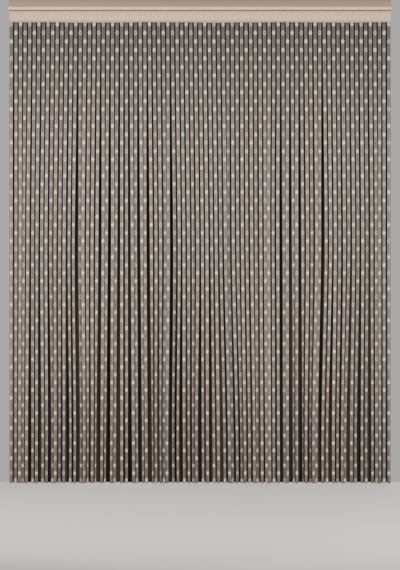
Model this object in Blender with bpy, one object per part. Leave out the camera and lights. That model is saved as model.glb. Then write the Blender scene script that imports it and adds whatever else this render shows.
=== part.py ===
"""A door-height string curtain: flat woven ribbons that hang from a heading tape in a slotted rail.

The frame: +X runs along the rail, the front faces -Y, +Z is up, and the origin is the middle of
the rail's top face. Every other ribbon hangs in a second row, just behind the first, so that
neighbours can drift together and overlap without touching.
"""

import math
from collections import namedtuple

import bmesh
import bpy
import numpy as np

# The whole curtain
HEIGHT = 2.100
RIBBON_COUNT = 83
PITCH = 0.020
SEWN_GAP = 0.0003

# The rail's section, from its top face down and from the slot's middle out
RAIL_HEIGHT = 0.046
RAIL_BACK = 0.015
FASCIA_FOOT = 0.015
FASCIA_FLARE = 0.005
FASCIA_STEPS = 6
LIP_FRONT = 0.019
LIP_HEIGHT = 0.013
LIP_ROUND = 0.002
ROUND_STEPS = 4
SLOT_DEPTH = 0.016
RAIL_OVERHANG = 0.002

# The heading tape
TAPE_THICKNESS = 0.0020
TAPE_SHOWS = 0.053
TAPE_STEPS = 66
TAPE_WAVES = ((0.0009, 3.1, 0.4), (0.0005, 8.3, 2.0))  # height, waves along the tape, phase

# The ribbons and the strips that they are sewn into
RIBBON_WIDTH = 0.016
RIBBON_THICKNESS = 0.0010
RIBBON_STEPS = 12
STRIP_TUCK = 0.003
ROW_REACH = 0.0064
ROW_REACH_SHARE = 0.20
WANDER_TURN = math.radians(7.0)
WANDER_SWAY = 0.0006
WANDER_WAVES = (0.6, 1.4)  # fewest and most waves of the small turn along the drop
WANDER_SHARE = 0.25  # the share of the drop over which the wander grows from nothing
SEED = 11

# The curtain hangs alike on both sides of its two middle ribbons: a run of ribbons goes outwards
# from there, mirrored on the left, and begins again where it ends.
MIDDLE_LEFT = 24
MIDDLE_RIGHT = 25
RUN_LENGTH = 33
MIDDLE_LEAN = 0.012

# Partings and pairs: a ribbon's place in the run, how the space to the next ribbon outwards
# changes there, and the share of the drop where the change starts.
PARTED = 0.0075
PAIRED = -0.0060
HIGH_UP = 0.0
LOW_DOWN = 0.45
CHANGES_OVER = 0.50  # the share of the drop that a change takes
Parting = namedtuple("Parting", "place change start")
PARTINGS = (
    Parting(0, PAIRED, HIGH_UP),
    Parting(1, PARTED, HIGH_UP),
    Parting(2, PAIRED, HIGH_UP),
    Parting(3, PARTED, HIGH_UP),
    Parting(4, PAIRED, LOW_DOWN),
    Parting(6, PAIRED, LOW_DOWN),
    Parting(7, PAIRED, HIGH_UP),
    Parting(8, PARTED, HIGH_UP),
    Parting(10, PARTED, LOW_DOWN),
    Parting(13, PAIRED, LOW_DOWN),
    Parting(14, PARTED, LOW_DOWN),
    Parting(16, PARTED, LOW_DOWN),
    Parting(18, PARTED, LOW_DOWN),
    Parting(20, PAIRED, HIGH_UP),
    Parting(23, PAIRED, LOW_DOWN),
    Parting(26, PAIRED, LOW_DOWN),
    Parting(29, PAIRED, HIGH_UP),
    Parting(32, PARTED, HIGH_UP),
)

# Turned ribbons: three stand nearly edge-on at the hem and a few are half turned. The others
# settle at a smaller turn. A turn starts at its share of the drop and is complete at the hem.
Turn = namedtuple("Turn", "degrees start")
EDGE_ON = Turn(70, 0.30)
HALF_TURNED = Turn(45, 0.10)
SETTLED = Turn(36, 0.25)
EDGE_ON_PLACES = (2, 4, 6)
HALF_TURNED_PLACES = (9, 10, 12, 13, 15, 17, 25)

# Colours: linear RGB, roughness, metallic
FINISHES = {
    "rail": ((0.42, 0.35, 0.29), 0.45, 0.0),
    "header_tape": ((0.52, 0.43, 0.36), 0.90, 0.0),
    "ribbons_front": ((0.24, 0.20, 0.18), 0.85, 0.0),
    "ribbons_back": ((0.22, 0.19, 0.17), 0.85, 0.0),
}

# Worked out from the sizes above
STACK = TAPE_THICKNESS + 2 * RIBBON_THICKNESS + 2 * SEWN_GAP
SLOT_WIDTH = STACK + 2 * SEWN_GAP
TAPE_FRONT = -STACK / 2
FRONT_STRIP = TAPE_FRONT + TAPE_THICKNESS + SEWN_GAP
BACK_STRIP = FRONT_STRIP + RIBBON_THICKNESS + SEWN_GAP
TOP_OF_CLOTH = -RAIL_HEIGHT + SLOT_DEPTH - SEWN_GAP
TAPE_FOOT = -RAIL_HEIGHT - TAPE_SHOWS
STRIP_FOOT = TAPE_FOOT + STRIP_TUCK
DROP = HEIGHT + STRIP_FOOT
CLOTH_WIDTH = (RIBBON_COUNT - 1) * PITCH + RIBBON_WIDTH
RAIL_WIDTH = CLOTH_WIDTH + 2 * RAIL_OVERHANG


def clear_scene():
    for old in list(bpy.data.objects):
        bpy.data.objects.remove(old, do_unlink=True)


def finish(name):
    """A Principled material in the sub-part's own colour."""
    colour, roughness, metallic = FINISHES[name]
    material = bpy.data.materials.new(name)
    material.use_nodes = True
    shader = material.node_tree.nodes["Principled BSDF"]
    shader.inputs["Base Color"].default_value = (*colour, 1.0)
    shader.inputs["Roughness"].default_value = roughness
    shader.inputs["Metallic"].default_value = metallic
    material.diffuse_color = (*colour, 1.0)
    return material


def add_object(name, points, faces):
    """An object from points and faces, with its faces turned outwards."""
    mesh = bpy.data.meshes.new(name)
    mesh.from_pydata([tuple(map(float, p)) for p in points], [], faces)
    tidy = bmesh.new()
    tidy.from_mesh(mesh)
    bmesh.ops.recalc_face_normals(tidy, faces=tidy.faces)
    tidy.to_mesh(mesh)
    tidy.free()
    mesh.materials.append(finish(name))
    made = bpy.data.objects.new(name, mesh)
    bpy.context.scene.collection.objects.link(made)
    return made


def ease(share):
    """A smooth step from 0 to 1."""
    share = np.clip(share, 0.0, 1.0)
    return share * share * (3.0 - 2.0 * share)


def quarter_round(corner_y, corner_z, start):
    """Points on a quarter circle about a corner's own centre, from the angle start on."""
    angles = start + np.linspace(0.0, math.pi / 2, ROUND_STEPS + 1)
    return [(corner_y + LIP_ROUND * math.cos(a), corner_z + LIP_ROUND * math.sin(a)) for a in angles]


def rail_outline():
    """The rail's section as (y, z) points: fascia, lip, slot and back."""
    down = np.linspace(0.0, 1.0, FASCIA_STEPS + 1)
    fascia_foot_z = -RAIL_HEIGHT + LIP_HEIGHT
    outline = [(-FASCIA_FOOT - FASCIA_FLARE * (1 - t) ** 2, fascia_foot_z * t) for t in down]
    lip_y = -LIP_FRONT + LIP_ROUND
    outline += quarter_round(lip_y, fascia_foot_z - LIP_ROUND, math.pi / 2)
    outline += quarter_round(lip_y, -RAIL_HEIGHT + LIP_ROUND, math.pi)
    slot = SLOT_WIDTH / 2
    slot_top = -RAIL_HEIGHT + SLOT_DEPTH
    outline += [(-slot, -RAIL_HEIGHT), (-slot, slot_top), (slot, slot_top), (slot, -RAIL_HEIGHT)]
    outline += [(RAIL_BACK, -RAIL_HEIGHT), (RAIL_BACK, 0.0)]
    return outline


def build_rail():
    """The section, extruded along X."""
    section = rail_outline()
    count = len(section)
    half = RAIL_WIDTH / 2
    points = [(x, y, z) for x in (-half, half) for y, z in section]
    faces = [[k, (k + 1) % count, count + (k + 1) % count, count + k] for k in range(count)]
    faces += [list(range(count)), list(range(count, 2 * count))]
    return add_object("rail", points, faces)


def build_tape():
    """A strip whose lower edge waves a little and whose upper edge is held in the slot."""
    along = np.linspace(0.0, 1.0, TAPE_STEPS + 1)
    wave = sum(h * np.sin(math.tau * n * along + phase) for h, n, phase in TAPE_WAVES)
    points = []
    for x, foot in zip((along - 0.5) * CLOTH_WIDTH, TAPE_FOOT + wave):
        for y, z in ring_of_strip(TAPE_FRONT, TAPE_THICKNESS, foot):
            points.append((x, y, z))
    faces = tube_faces(TAPE_STEPS + 1)
    faces += [[0, 1, 2, 3], [4 * TAPE_STEPS + k for k in range(4)]]
    return add_object("header_tape", points, faces)


def ring_of_strip(front, thickness, foot):
    """The four corners of a strip's cross-section: front foot, back foot, back top, front top."""
    back = front + thickness
    return [(front, foot), (back, foot), (back, TOP_OF_CLOTH), (front, TOP_OF_CLOTH)]


def tube_faces(rings, open_after=()):
    """Side faces of a four-sided tube, with no foot face after the rings named in open_after."""
    return [
        [4 * r + k, 4 * r + (k + 1) % 4, 4 * r + 4 + (k + 1) % 4, 4 * r + 4 + k]
        for r in range(rings - 1)
        for k in range(4)
        if k > 0 or r not in open_after
    ]


def outward_shift(count, share):
    """How far each ribbon of one side stands out from its even place, from the middle outwards.

    The changes of spacing add up along the run. The outermost ribbon hangs plumb, and what has
    added up there is taken off the outer half of the ribbons, more and more towards the edge.
    """
    widening = np.zeros((RUN_LENGTH, len(share)))
    for row in PARTINGS:
        widening[row.place] = row.change * ease((share - row.start) / CHANGES_OVER)
    shift = np.zeros((count, len(share)))
    shift[0] = MIDDLE_LEAN * share
    for place in range(1, count):
        shift[place] = shift[place - 1] + widening[(place - 1) % RUN_LENGTH]
    return shift - shift[-1] * np.clip(np.linspace(-1.0, 1.0, count), 0.0, 1.0)[:, None]


def places(share):
    """Each ribbon's even place along X at the tape, and its place at each share of the drop."""
    even = (np.arange(RIBBON_COUNT) - (RIBBON_COUNT - 1) / 2) * PITCH
    along = np.repeat(even[:, None], len(share), axis=1)
    along[MIDDLE_RIGHT + 1 :] += outward_shift(RIBBON_COUNT - 1 - MIDDLE_RIGHT, share)
    along[MIDDLE_LEFT - 1 :: -1] -= outward_shift(MIDDLE_LEFT, share)
    return even, along


def turn_of(ribbon, share, side):
    """How far the ribbon is turned about its own length, to one side, at each share of the drop."""
    place = (max(MIDDLE_LEFT - ribbon, ribbon - MIDDLE_RIGHT) - 1) % RUN_LENGTH
    turn = EDGE_ON if place in EDGE_ON_PLACES else SETTLED
    if place in HALF_TURNED_PLACES:
        turn = HALF_TURNED
    return side * math.radians(turn.degrees) * ease((share - turn.start) / (1.0 - turn.start))


def build_row(name, ribbons, strip_front, row_y, chance):
    """One row of ribbons as a single body: a narrow strip with the ribbons growing out of its foot.

    The strip's cross-section stands at both edges of every ribbon. A ribbon is a four-sided tube
    that starts on the four lower corners there, drifts, turns and ends in a cut end at the hem.
    """
    share = np.linspace(0.0, 1.0, RIBBON_STEPS + 1)[1:]
    even, along = places(share)
    half = RIBBON_WIDTH / 2
    points = []
    for ribbon in ribbons:
        for x in (even[ribbon] - half, even[ribbon] + half):
            for y, z in ring_of_strip(strip_front, RIBBON_THICKNESS, STRIP_FOOT):
                points.append((x, y, z))
    rings = 2 * len(ribbons)
    faces = tube_faces(rings, open_after=range(0, rings, 2))
    faces += [[0, 1, 2, 3], [4 * (rings - 1) + k for k in range(4)]]

    for order, ribbon in enumerate(ribbons):
        grown = ease(share / WANDER_SHARE)
        waves = np.sin(math.tau * (chance.uniform(*WANDER_WAVES) * share + chance.uniform()))
        side = chance.choice((-1, 1))
        turn = turn_of(ribbon, share, side) + WANDER_TURN * waves * grown
        sway = WANDER_SWAY * np.sin(math.tau * (share + chance.uniform())) * grown
        strip_y = strip_front + RIBBON_THICKNESS / 2
        middle_y = strip_y + (row_y - strip_y) * ease(share / ROW_REACH_SHARE) + sway
        height = STRIP_FOOT - DROP * share
        # From the strip's two cross-sections, the lower corners in order round the ribbon
        root = 8 * order
        previous = [root, root + 4, root + 5, root + 1]
        for x, y, z, angle in zip(along[ribbon], middle_y, height, turn):
            across = np.array((math.cos(angle), math.sin(angle), 0.0)) * half
            through = np.array((-math.sin(angle), math.cos(angle), 0.0)) * RIBBON_THICKNESS / 2
            middle = np.array((x, y, z))
            corners = [-across - through, across - through, across + through, -across + through]
            ring = list(range(len(points), len(points) + 4))
            points.extend(middle + corner for corner in corners)
            faces += [[previous[k], previous[(k + 1) % 4], ring[(k + 1) % 4], ring[k]] for k in (1, 3)]
            # The turning front and back are halved along the same slant, so they stay a ribbon apart
            faces += [[previous[0], previous[1], ring[1]], [previous[0], ring[1], ring[0]]]
            faces += [[previous[2], previous[3], ring[2]], [previous[3], ring[3], ring[2]]]
            previous = ring
        faces.append(previous)
    return add_object(name, points, faces)


def main():
    clear_scene()
    chance = np.random.default_rng(SEED)
    build_rail()
    build_tape()
    build_row("ribbons_front", range(0, RIBBON_COUNT, 2), FRONT_STRIP, -ROW_REACH, chance)
    build_row("ribbons_back", range(1, RIBBON_COUNT, 2), BACK_STRIP, ROW_REACH, chance)


main()
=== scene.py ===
import bpy
import numpy as np
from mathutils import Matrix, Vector


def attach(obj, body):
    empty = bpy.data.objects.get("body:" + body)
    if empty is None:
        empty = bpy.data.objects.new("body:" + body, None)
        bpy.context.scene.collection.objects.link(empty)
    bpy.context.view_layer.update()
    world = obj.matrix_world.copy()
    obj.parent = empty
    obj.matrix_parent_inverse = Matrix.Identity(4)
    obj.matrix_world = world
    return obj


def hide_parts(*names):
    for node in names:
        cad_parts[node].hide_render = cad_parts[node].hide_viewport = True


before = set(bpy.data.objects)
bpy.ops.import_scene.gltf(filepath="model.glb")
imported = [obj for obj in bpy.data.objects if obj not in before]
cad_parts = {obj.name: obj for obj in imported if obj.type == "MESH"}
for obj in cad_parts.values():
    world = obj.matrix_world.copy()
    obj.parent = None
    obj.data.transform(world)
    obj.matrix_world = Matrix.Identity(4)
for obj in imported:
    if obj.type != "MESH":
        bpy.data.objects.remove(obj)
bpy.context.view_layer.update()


# The top rail. One length of drawn aluminium with a hollow-curved face, a rounded lip along
# its foot and a slot underneath. It is sprayed with a satin beige paint after it is drawn, and
# is screwed up through its flat top.

class Socket:
    """An output of a finish's nodes. Arithmetic on sockets and numbers adds Math nodes."""

    def __init__(self, finish, socket):
        self.finish = finish
        self.socket = socket

    def __add__(self, other):
        return self.finish.maths("ADD", self, other)

    def __sub__(self, other):
        return self.finish.maths("SUBTRACT", self, other)

    def __rsub__(self, other):
        return self.finish.maths("SUBTRACT", other, self)

    def __mul__(self, other):
        return self.finish.maths("MULTIPLY", self, other)

    def __truediv__(self, other):
        return self.finish.maths("DIVIDE", self, other)

    def __pow__(self, other):
        return self.finish.maths("POWER", self, other)

    def __abs__(self):
        return self.finish.maths("ABSOLUTE", self)

    __radd__ = __add__
    __rmul__ = __mul__


class Finish:
    """A material and its nodes."""

    def __init__(self, name):
        self.material = bpy.data.materials.new(name)
        self.material.use_nodes = True
        self.tree = self.material.node_tree
        self.tree.nodes.clear()

    def node(self, kind, settings, sockets, output=0):
        """Adds a node of this kind, with its settings first and then its sockets' values or links."""
        made = self.tree.nodes.new("ShaderNode" + kind)
        for setting, value in settings.items():
            setattr(made, setting, value)
        for place, value in sockets.items():
            if isinstance(value, Socket):
                self.tree.links.new(value.socket, made.inputs[place])
            else:
                made.inputs[place].default_value = value
        return Socket(self, made.outputs[output])

    def maths(self, operation, *values):
        """A Math node of this operation on sockets or numbers."""
        return self.node("Math", {"operation": operation}, dict(enumerate(values)))

    def ease(self, value, start, end):
        """Goes smoothly from 0 to 1 while value goes from start to end."""
        sockets = {"Value": value, "From Min": start, "From Max": end}
        return self.node("MapRange", {"interpolation_type": "SMOOTHSTEP"}, sockets)

    def blend(self, share, first, second):
        """A colour that goes from the first to the second as share goes from 0 to 1."""
        return self.node("Mix", {"data_type": "RGBA"}, {0: share, 6: first, 7: second}, 2)

    def noise(self, place, scale, detail):
        """Soft noise around 0.5, its grain scaled along each of the three axes."""
        spread = self.node("Mapping", {}, {"Vector": place, "Scale": scale})
        return self.node("TexNoise", {}, {"Vector": spread, "Scale": 1.0, "Detail": detail})

    def surface(self, sockets, relief=None, depth=0.0):
        """Ends the nodes in one Principled shader, with relief as a bump of this depth in metres."""
        if relief is not None:
            bump = self.node("Bump", {}, {"Height": relief, "Distance": depth, "Strength": 1.0})
            sockets = {**sockets, "Normal": bump}
        shader = self.node("BsdfPrincipled", {}, sockets)
        output = self.tree.nodes.new("ShaderNodeOutputMaterial")
        self.tree.links.new(shader.socket, output.inputs["Surface"])
        return self.material


def shade(red, green, blue):
    """A colour as a screen shows it, from 0 to 255, as the light it stands for."""
    screen = np.array([red, green, blue]) / 255
    light = np.where(screen < 0.04045, screen / 12.92, ((screen + 0.055) / 1.055) ** 2.4)
    return (*light.tolist(), 1.0)


paint = Finish("satin_beige_paint")
rail_place = paint.node("TexCoord", {}, {}, "Object")
drawn_lines = paint.noise(rail_place, (3.0, 900.0, 900.0), 2.0)
dust = paint.noise(rail_place, (9.0, 60.0, 60.0), 4.0)
rail_height = paint.node("SeparateXYZ", {}, {"Vector": rail_place}, "Z")
on_lip = 1.0 - paint.ease(rail_height, -0.0336, -0.0324)
# Painted shade: a dark band on the lip's underside.
shade_under_lip = 1.0 - paint.ease(rail_height, -0.0460, -0.0457)
# Painted shade: the face is painted darker towards its top, where it hangs out over the hollow.
rail_colour = paint.blend(paint.ease(rail_height, -0.034, 0.0), shade(156, 130, 109), shade(126, 104, 87))
rail_colour = paint.blend(0.5 * paint.ease(dust, 0.35, 0.75), rail_colour, shade(138, 115, 97))
# Painted light: the lip is painted far lighter than the face, as the lit side of the same paint, and
# lighter still at its foot as a painted highlight.
lip_foot_highlight = 1.0 - paint.ease(rail_height, -0.0446, -0.0422)
lit_lip_colour = paint.blend(lip_foot_highlight, shade(228, 190, 160), shade(252, 214, 184))
rail_colour = paint.blend(on_lip, rail_colour, lit_lip_colour)
# Painted shade under the lip.
rail_colour = paint.blend(0.9 * shade_under_lip, rail_colour, shade(84, 66, 54))
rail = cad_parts["rail"]
rail.data.materials.clear()
rail.data.materials.append(paint.surface(
    {
        "Base Color": rail_colour,
        "Roughness": 0.36 + 0.16 * dust,
        "Specular IOR Level": 0.4,
    },
    drawn_lines,
    0.00012,
))


# The heading tape. A band of stiff beige rep weave whose upper edge is held in the rail's slot.
# Its lower edge is turned under and sewn down, and the sewing draws it into a slight wave.

CLOTH_WIDTH = 1.656
CLOTH_TOP = -0.0303
TAPE_FOOT = -0.099
TAPE_FRONT = -0.0023
TAPE_THICKNESS = 0.002
TAPE_WAVES = ((0.0009, 3.1, 0.4), (0.0005, 8.3, 2.0))  # height, waves along the tape, phase
TAPE_STEPS = 552
REP_PITCH = 0.0016
PICK_PITCH = 0.0011
HEM_STARTS = 0.80  # the share of the drop where the turned-under edge begins
HEM_ROUNDS = 0.90  # and where it begins to round off


def tubes(name, points, maps, finish, smooth_to=0.9):
    """Closed skins, one for each strip. points holds strips, steps along, and a ring of points
    round each step, in metres, and maps holds two numbers for each of those points by name."""
    strips, steps, ring = points.shape[:3]
    number = np.arange(strips * steps * ring).reshape(strips, steps, ring)
    turned = np.roll(number, -1, axis=2)
    sides = np.stack((number[:, :-1], turned[:, :-1], turned[:, 1:], number[:, 1:]), axis=-1)
    ends = np.concatenate((number[:, 0, ::-1], number[:, -1]))
    mesh = bpy.data.meshes.new(name)
    mesh.from_pydata(points.reshape(-1, 3), [], sides.reshape(-1, 4).tolist() + ends.tolist())
    corner = np.empty(len(mesh.loops), dtype=np.int32)
    mesh.loops.foreach_get("vertex_index", corner)
    for map_name, values in maps.items():
        layer = mesh.uv_layers.new(name=map_name)
        layer.uv.foreach_set("vector", values.reshape(-1, 2)[corner].astype(np.float32).ravel())
    mesh.shade_smooth()
    mesh.set_sharp_from_angle(angle=smooth_to)
    mesh.materials.append(finish)
    piece = bpy.data.objects.new(name, mesh)
    bpy.context.scene.collection.objects.link(piece)
    return piece


def tape_foot(x):
    """Height of the tape's lower edge at x: its foot plus two slow sine waves along the width."""
    along = x / CLOTH_WIDTH + 0.5
    rise = sum(tall * np.sin(2 * np.pi * count * along + phase) for tall, count, phase in TAPE_WAVES)
    return TAPE_FOOT + rise


tape = Finish("beige_rep_weave")
tape_lie = tape.node("UVMap", {"uv_map": "lie"}, {})
tape_place = tape.node("TexCoord", {}, {}, "Object")
tape_across = tape.node("SeparateXYZ", {}, {"Vector": tape_lie}, "X")
tape_down = tape.node("SeparateXYZ", {}, {"Vector": tape_lie}, "Y")
rep_ribs = tape.maths("SINE", tape_across * (2 * np.pi / REP_PITCH))
picks = tape.maths("SINE", tape_down * (2 * np.pi / PICK_PITCH))
rep = 0.5 + 0.25 * rep_ribs + 0.25 * picks
slubs = tape.noise(tape_place, (110.0, 40.0, 240.0), 6.0)
cloudy = tape.noise(tape_place, (14.0, 14.0, 40.0), 3.0)
# Painted shadow: the tape is painted darker for its first few millimetres below the rail's lip.
rail_shadow_on_tape = 1.0 - tape.ease(tape_down, 0.0150, 0.0230)
# Painted shade: a thin dark line on the tape just below the lip, in the gap under it.
gap_shadow_line = 1.0 - tape.ease(tape_down, 0.0186, 0.0198)
hem_shadow = tape.ease(tape_down, 0.0550, 0.0690)
tape_yarn = tape.blend(tape.ease(slubs, 0.30, 0.70), shade(202, 168, 142), shade(247, 213, 186))
# Random mottling of the yarn, then painted shade below the rail.
tape_mottled_and_shaded = tape.blend(0.45 * cloudy, tape_yarn, shade(212, 179, 152))
tape_mottled_and_shaded = tape.blend(0.35 * rail_shadow_on_tape, tape_mottled_and_shaded, shade(170, 140, 120))
tape_mottled_and_shaded = tape.blend(0.9 * gap_shadow_line, tape_mottled_and_shaded, shade(88, 72, 61))
tape_colour = tape.blend(0.70 * hem_shadow, tape_mottled_and_shaded, shade(138, 118, 104))
tape_finish = tape.surface(
    {
        "Base Color": tape_colour,
        "Roughness": 0.82 + 0.10 * slubs,
        "Specular IOR Level": 0.25,
        "Sheen Weight": 0.25,
        "Sheen Roughness": 0.5,
    },
    rep,
    0.00022,
)

tape_x = np.linspace(-CLOTH_WIDTH / 2, CLOTH_WIDTH / 2, TAPE_STEPS + 1)
tape_share = np.array([0.0, 0.25, 0.5, 0.70, 0.80, 0.86, 0.90, 0.94, 0.97, 0.99, 1.0])
# The turned-under edge swells to the full thickness and then rounds off
swelling = np.clip((tape_share - HEM_STARTS) / 0.08, 0, 1)
rounding = ((tape_share - HEM_ROUNDS) / 0.1001) ** 2 * (tape_share > HEM_ROUNDS)
hem_swell = 0.62 + 0.38 * swelling * np.sqrt(np.clip(1 - rounding, 0.02, 1))
ring_share = np.concatenate((tape_share, tape_share[::-1]))
ring_side = np.concatenate((-hem_swell, hem_swell[::-1]))
tape_drop = CLOTH_TOP - tape_foot(tape_x)
tape_points = np.empty((1, len(tape_x), len(ring_share), 3))
tape_points[0, :, :, 0] = tape_x[:, None]
tape_points[0, :, :, 1] = TAPE_FRONT + TAPE_THICKNESS / 2 + ring_side * TAPE_THICKNESS / 2
tape_points[0, :, :, 2] = CLOTH_TOP - tape_drop[:, None] * ring_share
tape_map = np.empty((1, len(tape_x), len(ring_share), 2))
tape_map[..., 0] = tape_x[:, None]
tape_map[..., 1] = CLOTH_TOP - tape_points[..., 2]
heading_tape = tubes("heading_tape", tape_points, {"lie": tape_map}, tape_finish)

thread = Finish("beige_sewing_thread")
thread_place = thread.node("TexCoord", {}, {}, "Object")
fuzz = thread.noise(thread_place, (900.0, 900.0, 900.0), 2.0)
thread_finish = thread.surface({
    "Base Color": thread.blend(fuzz, shade(186, 166, 150), shade(214, 196, 182)),
    "Roughness": 0.7,
    "Sheen Weight": 0.2,
})

STITCH_PITCH = 0.0036
STITCH_LENGTH = 0.0027
STITCH_MARGIN = 0.003
STITCHES_ABOVE_FOOT = 0.0072
stitch_x = np.arange(-CLOTH_WIDTH / 2 + STITCH_MARGIN, CLOTH_WIDTH / 2 - STITCH_MARGIN, STITCH_PITCH)
stitch_run = np.linspace(0.0, 1.0, 5)
stitch_turn = np.arange(6) * -np.pi / 3
stitch_rise = np.sin(np.pi * stitch_run)
stitch_points = np.empty((len(stitch_x), len(stitch_run), len(stitch_turn), 3))
stitch_points[..., 0] = stitch_x[:, None, None] + STITCH_LENGTH * stitch_run[:, None]
stitch_body = 0.00012 + 0.00012 * stitch_rise[:, None]
stitch_middle = TAPE_FRONT - 0.00002 + 0.0001 * (1 - stitch_rise[:, None])
stitch_points[..., 1] = stitch_middle - stitch_body * np.cos(stitch_turn)
stitch_line = tape_foot(stitch_points[..., 0]) + STITCHES_ABOVE_FOOT
stitch_points[..., 2] = stitch_line + stitch_body * np.sin(stitch_turn)
tape_stitches = tubes("tape_stitches", stitch_points, {}, thread_finish, 3.2)

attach(heading_tape, "root")
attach(tape_stitches, "root")
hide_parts("header_tape")


# The ribbons. Eighty-three lengths of flat taupe ribbon, each woven with two fuller cords beside
# a thin middle line, and with pale ovals and rings by turns. The even ones hang from one narrow
# band and the odd ones from a second band behind it, and both bands are sewn up behind the tape.

RIBBON_COUNT = 83
PITCH = 0.020
ROOT = -0.096
DROP = 2.004
LEVELS = 12
EASY_TURN = np.radians(15)
RIBBON_WIDTH = 0.016
BODY = 0.00032
CORD = 0.00014
BOW = 0.0011
BAND_FRONTS = {"ribbons_front": 0.0, "ribbons_back": 0.0013}
BAND_THICKNESS = 0.001
BAND_STEPS = 184
WEFT_PITCH = 0.0012
RIBBON_RINGS = 73
RIBBON_POINTS = 11  # across one face
FIRST_DOT = -0.1064
FIRST_REPEAT = 0.0750
LAST_REPEAT = 0.0643


def level_rings(node, count):
    """Each ribbon's middle and its turn from the front at each ring of the node. The four corners
    of a ring lie side by side in x, and their longer axis is the way the ribbon faces. Cloth turns
    a little more than the solid half way down, and a little less at the hem."""
    corners = np.empty(len(node.data.vertices) * 3, dtype=np.float32)
    node.data.vertices.foreach_get("co", corners)
    corners = np.unique(corners.reshape(-1, 3).round(5), axis=0)
    middles = np.empty((count, LEVELS + 1, 2))
    turns = np.zeros((count, LEVELS + 1))
    for level in range(1, LEVELS + 1):
        height = ROOT - DROP * level / LEVELS
        ring = corners[np.abs(corners[:, 2] - height) < 0.0002]
        ring = ring[np.argsort(ring[:, 0])].reshape(count, 4, 3)
        middles[:, level] = ring[:, :, :2].mean(axis=1)
        apart = ring[:, :, :2] - middles[:, level, None]
        spread = (apart[..., 0] ** 2 - apart[..., 1] ** 2).sum(axis=1)
        turns[:, level] = np.arctan2(2 * (apart[..., 0] * apart[..., 1]).sum(axis=1), spread) / 2
    turns = np.unwrap(2 * turns, axis=1) / 2
    level = np.arange(LEVELS + 1) / LEVELS
    slack = EASY_TURN * np.interp(level, (0, 0.3, 0.6, 1), (0, 0.9, 1, 0.3))
    turns = np.sign(turns[:, -1:]) * np.hypot(turns * np.interp(level, (0.6, 1), (1, 0.90)), slack)
    return middles, turns


def carried(values, steps):
    """Values at even levels, carried smoothly on to a number of steps. Each span is a cubic whose
    slope at a level is half the difference of that level's neighbours."""
    padded = np.concatenate((values[:, :1], values, values[:, -1:]), axis=1)
    slopes = (padded[:, 2:] - padded[:, :-2]) / 2
    place = np.linspace(0, values.shape[1] - 1, steps)
    span = np.minimum(place.astype(int), values.shape[1] - 2)
    part = (place - span).reshape((1, -1) + (1,) * (values.ndim - 2))
    start = values[:, span] * (2 * part ** 3 - 3 * part ** 2 + 1)
    end = values[:, span + 1] * (3 * part ** 2 - 2 * part ** 3)
    leaving = slopes[:, span] * (part ** 3 - 2 * part ** 2 + part)
    reaching = slopes[:, span + 1] * (part ** 3 - part ** 2)
    return start + end + leaving + reaching


weave = Finish("taupe_ribbon_weave")
lie = weave.node("UVMap", {"uv_map": "lie"}, {})
own = weave.node("UVMap", {"uv_map": "own"}, {})
across = abs(weave.node("SeparateXYZ", {}, {"Vector": lie}, "X"))
repeats = weave.node("SeparateXYZ", {}, {"Vector": lie}, "Y")
down = weave.node("SeparateXYZ", {}, {"Vector": own}, "X")
tone = weave.node("SeparateXYZ", {}, {"Vector": own}, "Y")
cell = weave.maths("FLOOR", repeats + 0.5)
from_dot = repeats - cell
is_filled = weave.maths("FLOORED_MODULO", cell, 2.0)
loose = weave.ease(down, 0.1, 0.8) * (1.0 - 0.7 * weave.ease(down, 1.1, 2.0))
dot_width = 0.86 - 0.08 * loose
dot_length = 0.136 - 0.004 * loose
reach = weave.maths("SQRT", (across / dot_width) ** 2.0 + abs(from_dot / dot_length) ** 2.0)
oval = 1.0 - weave.ease(reach, 0.84, 1.04)
eye = 1.0 - weave.ease(reach, 0.26, 0.57)
cords = weave.ease(across, 0.06, 0.30) * (1.0 - weave.ease(across, 0.55, 0.95))
yarns = weave.noise(own, (900.0, 300.0, 1.0), 3.0)
ribbon_place = weave.node("TexCoord", {}, {}, "Object")
wear = weave.noise(ribbon_place, (30.0, 30.0, 7.0), 3.0)
weft = weave.maths("SINE", down * (2 * np.pi / WEFT_PITCH))
warp = weave.maths("SINE", across * (2 * np.pi * 9.0))
ground = weave.blend(cords, shade(94, 87, 82), shade(150, 142, 136))
# The edges go near black: a darker woven edge, with painted shade where neighbouring ribbons meet laid
# over it.
ground = weave.blend(0.97 * weave.ease(across, 0.76, 0.94), ground, shade(18, 9, 5))
# Painted shade: the ribbon's ground is painted darker near the head and again towards the hem.
head = weave.maths("POWER", weave.ease(down, -0.1, 0.62), 0.8)
shade_towards_hem = weave.ease(down, 1.45, 2.05)
ground = weave.blend(0.53 - 0.53 * head + 0.23 * shade_towards_hem, ground, shade(0, 0, 0))
ground = weave.blend(0.35 * yarns, ground, shade(118, 108, 101))
ground = weave.blend(0.20 * wear, ground, shade(104, 95, 88))
pale = weave.blend(is_filled, shade(211, 197, 185), shade(237, 222, 208))
# Painted shade: the pale dots are painted darker near the head.
pale = weave.blend(0.22 - 0.22 * head, pale, shade(150, 138, 130))
pale = weave.blend(0.25 * eye, pale, shade(190, 181, 175))
ringed = weave.blend(0.95 * eye * (1.0 - is_filled), pale, shade(84, 75, 69))
dotted = weave.blend(oval, ground, ringed)
# Painted shadow: a thin dark line across each ribbon just below the tape, left off the pale dots.
shadow_under_tape = (1.0 - weave.ease(down, 0.0058, 0.0084)) * (1.0 - oval)
shadowed_under_tape = weave.blend(0.55 * shadow_under_tape, dotted, shade(66, 52, 44))
sealed = weave.blend(0.6 * weave.ease(down, DROP - 0.0016, DROP - 0.0008), shadowed_under_tape, shade(84, 74, 68))
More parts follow.
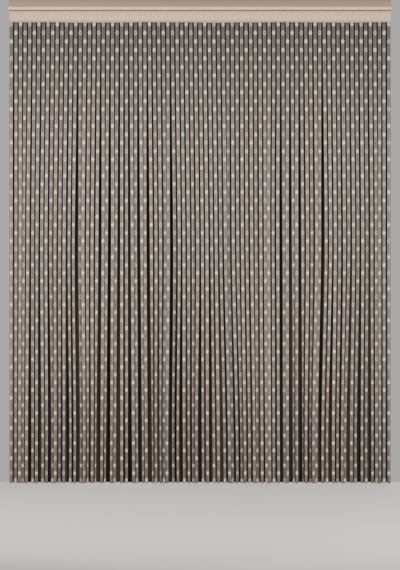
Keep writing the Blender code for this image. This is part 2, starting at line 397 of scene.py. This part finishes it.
# Each ribbon's random tone, times painted shade that dims it near the head and towards the hem.
lit = (0.77 + 0.23 * head - 0.11 * shade_towards_hem) * (0.92 + 0.16 * tone)
toned_and_shaded = weave.node("HueSaturation", {}, {
    "Saturation": 0.86 + 0.30 * weave.ease(tone, 0.2, 1.0) * head,
    "Value": lit,
    "Color": sealed,
})
weave_finish = weave.surface(
    {
        "Base Color": toned_and_shaded,
        "Roughness": 0.74 + 0.14 * yarns,
        "Specular IOR Level": 0.3,
        "Sheen Weight": 0.2,
        "Sheen Roughness": 0.45,
    },
    0.5 + 0.25 * weft + 0.15 * warp,
    0.00018,
)

edge_to_edge = np.sin(np.linspace(-np.pi / 2, np.pi / 2, RIBBON_POINTS))
rounded = np.sqrt(np.clip(1 - edge_to_edge ** 6, 0.12, 1))
half_body = BODY * rounded + CORD * np.sin(np.pi * edge_to_edge) ** 2
bowed = BOW * (1 - edge_to_edge ** 2) - BOW / 2
ring_across = np.concatenate((edge_to_edge[::-1], edge_to_edge))
ring_proud = np.concatenate((bowed + half_body, bowed - half_body))
chance = np.random.default_rng(21)

for node_name, first in (("ribbons_front", 0), ("ribbons_back", 1)):
    ribbon_numbers = np.arange(first, RIBBON_COUNT, 2)
    many = len(ribbon_numbers)
    middles, turns = level_rings(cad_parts[node_name], many)
    band_middle = BAND_FRONTS[node_name] + BAND_THICKNESS / 2
    middles[:, 0, 0] = (ribbon_numbers - (RIBBON_COUNT - 1) / 2) * PITCH
    middles[:, 0, 1] = band_middle
    middle = carried(middles, RIBBON_RINGS)
    turn = carried(turns, RIBBON_RINGS)[..., None]
    share = np.linspace(0, 1, RIBBON_RINGS)[:, None]
    settle = np.clip(share / 0.06, 0, 1)
    out = ring_across * RIBBON_WIDTH / 2
    proud = ring_proud * settle + np.sign(ring_proud) * BODY * (1 - settle)
    points = np.empty((many, RIBBON_RINGS, len(ring_across), 3))
    points[..., 0] = middle[..., :1] + out * np.cos(turn) + proud * np.sin(turn)
    points[..., 1] = middle[..., 1:] + out * np.sin(turn) - proud * np.cos(turn)
    points[..., 2] = ROOT - DROP * share
    below = (FIRST_DOT - points[..., 2]) / (FIRST_DOT - ROOT + DROP)
    # The repeat shrinks evenly down the ribbon, so the count of repeats grows as a logarithm
    shortening = LAST_REPEAT / FIRST_REPEAT - 1
    fall = (FIRST_DOT - ROOT + DROP) / FIRST_REPEAT
    lie_map = np.empty((many, RIBBON_RINGS, len(ring_across), 2))
    lie_map[..., 0] = ring_across
    half_repeats = ((ribbon_numbers / 2) % 2)[:, None, None]
    lie_map[..., 1] = fall / shortening * np.log1p(shortening * below) + half_repeats
    own_map = np.empty_like(lie_map)
    own_map[..., 0] = ROOT - points[..., 2]
    own_map[..., 1] = chance.random(many)[:, None, None]
    ribbons = tubes(node_name.replace("ribbons", "ribbon_row"), points,
                    {"lie": lie_map, "own": own_map}, weave_finish)

    band_x = np.linspace(-CLOTH_WIDTH / 2, CLOTH_WIDTH / 2, BAND_STEPS + 1)
    band_share = np.array([0.0, 0.03, 0.1, 0.5, 0.9, 0.97, 1.0])
    band_side = np.array([0.5, 0.9, 1.0, 1.0, 1.0, 0.9, 0.5])
    round_share = np.concatenate((band_share, band_share[::-1]))
    round_side = np.concatenate((-band_side, band_side[::-1]))
    band_points = np.empty((1, len(band_x), len(round_share), 3))
    band_points[0, :, :, 0] = band_x[:, None]
    band_points[0, :, :, 1] = band_middle + round_side * BAND_THICKNESS / 2
    band_points[0, :, :, 2] = CLOTH_TOP + (ROOT - CLOTH_TOP) * round_share
    band_map = np.empty((1, len(band_x), len(round_share), 2))
    band_map[..., 0] = band_x[:, None]
    band_map[..., 1] = 0.04 * (CLOTH_TOP - band_points[..., 2]) / (CLOTH_TOP - ROOT)
    band = tubes(node_name.replace("ribbons", "band"), band_points, {"lie": band_map}, tape_finish)

    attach(ribbons, "root")
    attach(band, "root")
    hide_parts(node_name)


# The floor, the backdrop, the lights and the camera. The curtain's hem just clears a plain pale
# floor, and a dark cloth far behind it is all that shows between the ribbons. Soft boxes and a
# pale surround light it, and the camera looks at it square on.

FLOOR = -2.1
floor_mesh = bpy.data.meshes.new("floor")
floor_mesh.from_pydata(
    [(-9, -10, FLOOR), (9, -10, FLOOR), (9, 0.04, FLOOR), (-9, 0.04, FLOOR)], [], [(0, 1, 2, 3)])
floor = bpy.data.objects.new("floor", floor_mesh)
bpy.context.scene.collection.objects.link(floor)
plaster = Finish("pale_floor")
floor_place = plaster.node("TexCoord", {}, {}, "Object")
mottle = plaster.noise(floor_place, (3.0, 3.0, 3.0), 4.0)
floor_mesh.materials.append(plaster.surface({
    "Base Color": plaster.blend(mottle, shade(222, 219, 214), shade(230, 228, 224)),
    "Roughness": 0.6,
}))
CAMERA_AWAY = 9.0
CAMERA_HEIGHT = 0.8603
BACKCLOTH_AWAY = 16.0
beyond = 1 + BACKCLOTH_AWAY / CAMERA_AWAY
backcloth_side = CLOTH_WIDTH / 2 * beyond
backcloth_foot = FLOOR + CAMERA_HEIGHT - CAMERA_HEIGHT * beyond
backcloth_top = FLOOR + CAMERA_HEIGHT + (TAPE_FOOT + 0.03 - FLOOR - CAMERA_HEIGHT) * beyond
backcloth_mesh = bpy.data.meshes.new("dark_cloth")
backcloth_mesh.from_pydata(
    [(-backcloth_side, BACKCLOTH_AWAY, backcloth_foot), (backcloth_side, BACKCLOTH_AWAY, backcloth_foot),
     (backcloth_side, BACKCLOTH_AWAY, backcloth_top), (-backcloth_side, BACKCLOTH_AWAY, backcloth_top)],
    [], [(0, 1, 2, 3)])
backcloth = bpy.data.objects.new("dark_cloth", backcloth_mesh)
bpy.context.scene.collection.objects.link(backcloth)
dark = Finish("dark_cloth")
dark_place = dark.node("TexCoord", {}, {}, "Object")
# Painted shade: dark and mid-dark upright streaks on the cloth stand for shaded ribbons further back, and
# the cloth is painted darker towards the top.
shaded_ribbon_streaks = dark.noise(dark_place, (16.0, 1.0, 0.12), 2.0)
far_up = dark.ease(dark.node("SeparateXYZ", {}, {"Vector": dark_place}, "Z"), -2.4, 0.4)
streaked_cloth_colour = dark.blend(dark.ease(shaded_ribbon_streaks, 0.40, 0.62), shade(38, 30, 25), shade(84, 72, 63))
backcloth_mesh.materials.append(dark.surface({
    "Base Color": dark.blend(0.8 * far_up, streaked_cloth_colour, shade(6, 5, 4)),
    "Roughness": 0.9,
    "Specular IOR Level": 0.1,
}))


def soft_box(name, place, aim, size, power, colour):
    """A rectangular area light at place, turned towards aim."""
    lamp = bpy.data.lights.new(name, "AREA")
    lamp.shape = "RECTANGLE"
    lamp.size = size[0]
    lamp.size_y = size[1]
    lamp.energy = power
    lamp.color = colour
    box = bpy.data.objects.new(name, lamp)
    box.location = place
    box.rotation_euler = (Vector(aim) - Vector(place)).to_track_quat("-Z", "Y").to_euler()
    box.visible_camera = False
    bpy.context.scene.collection.objects.link(box)


soft_box("key", (-1.3, -2.4, -0.65), (-0.1, 0.0, -0.80), (1.8, 1.2), 50.0, (1.0, 0.97, 0.94))
soft_box("fill", (1.5, -2.6, -0.75), (0.1, 0.0, -0.80), (1.8, 1.2), 45.0, (1.0, 0.97, 0.94))
soft_box("top", (0.0, -1.4, 1.5), (0.0, 0.0, -0.4), (3.0, 0.7), 14.0, (1.0, 0.97, 0.94))
soft_box("back", (0.8, 3.2, 1.4), (0.0, 0.0, -1.1), (2.2, 1.4), 90.0, (0.97, 0.98, 1.0))
world = bpy.data.worlds.new("studio")
world.use_nodes = True
world.node_tree.nodes["Background"].inputs["Color"].default_value = (0.52, 0.508, 0.495, 1.0)
world.node_tree.nodes["Background"].inputs["Strength"].default_value = 1.0
bpy.context.scene.world = world

METRES_A_PIXEL = 0.004345
lens = bpy.data.cameras.new("camera")
lens.sensor_fit = "VERTICAL"
lens.sensor_height = 36.0
lens.lens = 36.0 * CAMERA_AWAY / (570 * METRES_A_PIXEL)
camera = bpy.data.objects.new("camera", lens)
camera.location = (0.0, -CAMERA_AWAY, FLOOR + CAMERA_HEIGHT)
camera.rotation_euler = (np.pi / 2, 0.0, 0.0)
bpy.context.scene.collection.objects.link(camera)
bpy.context.scene.camera = camera
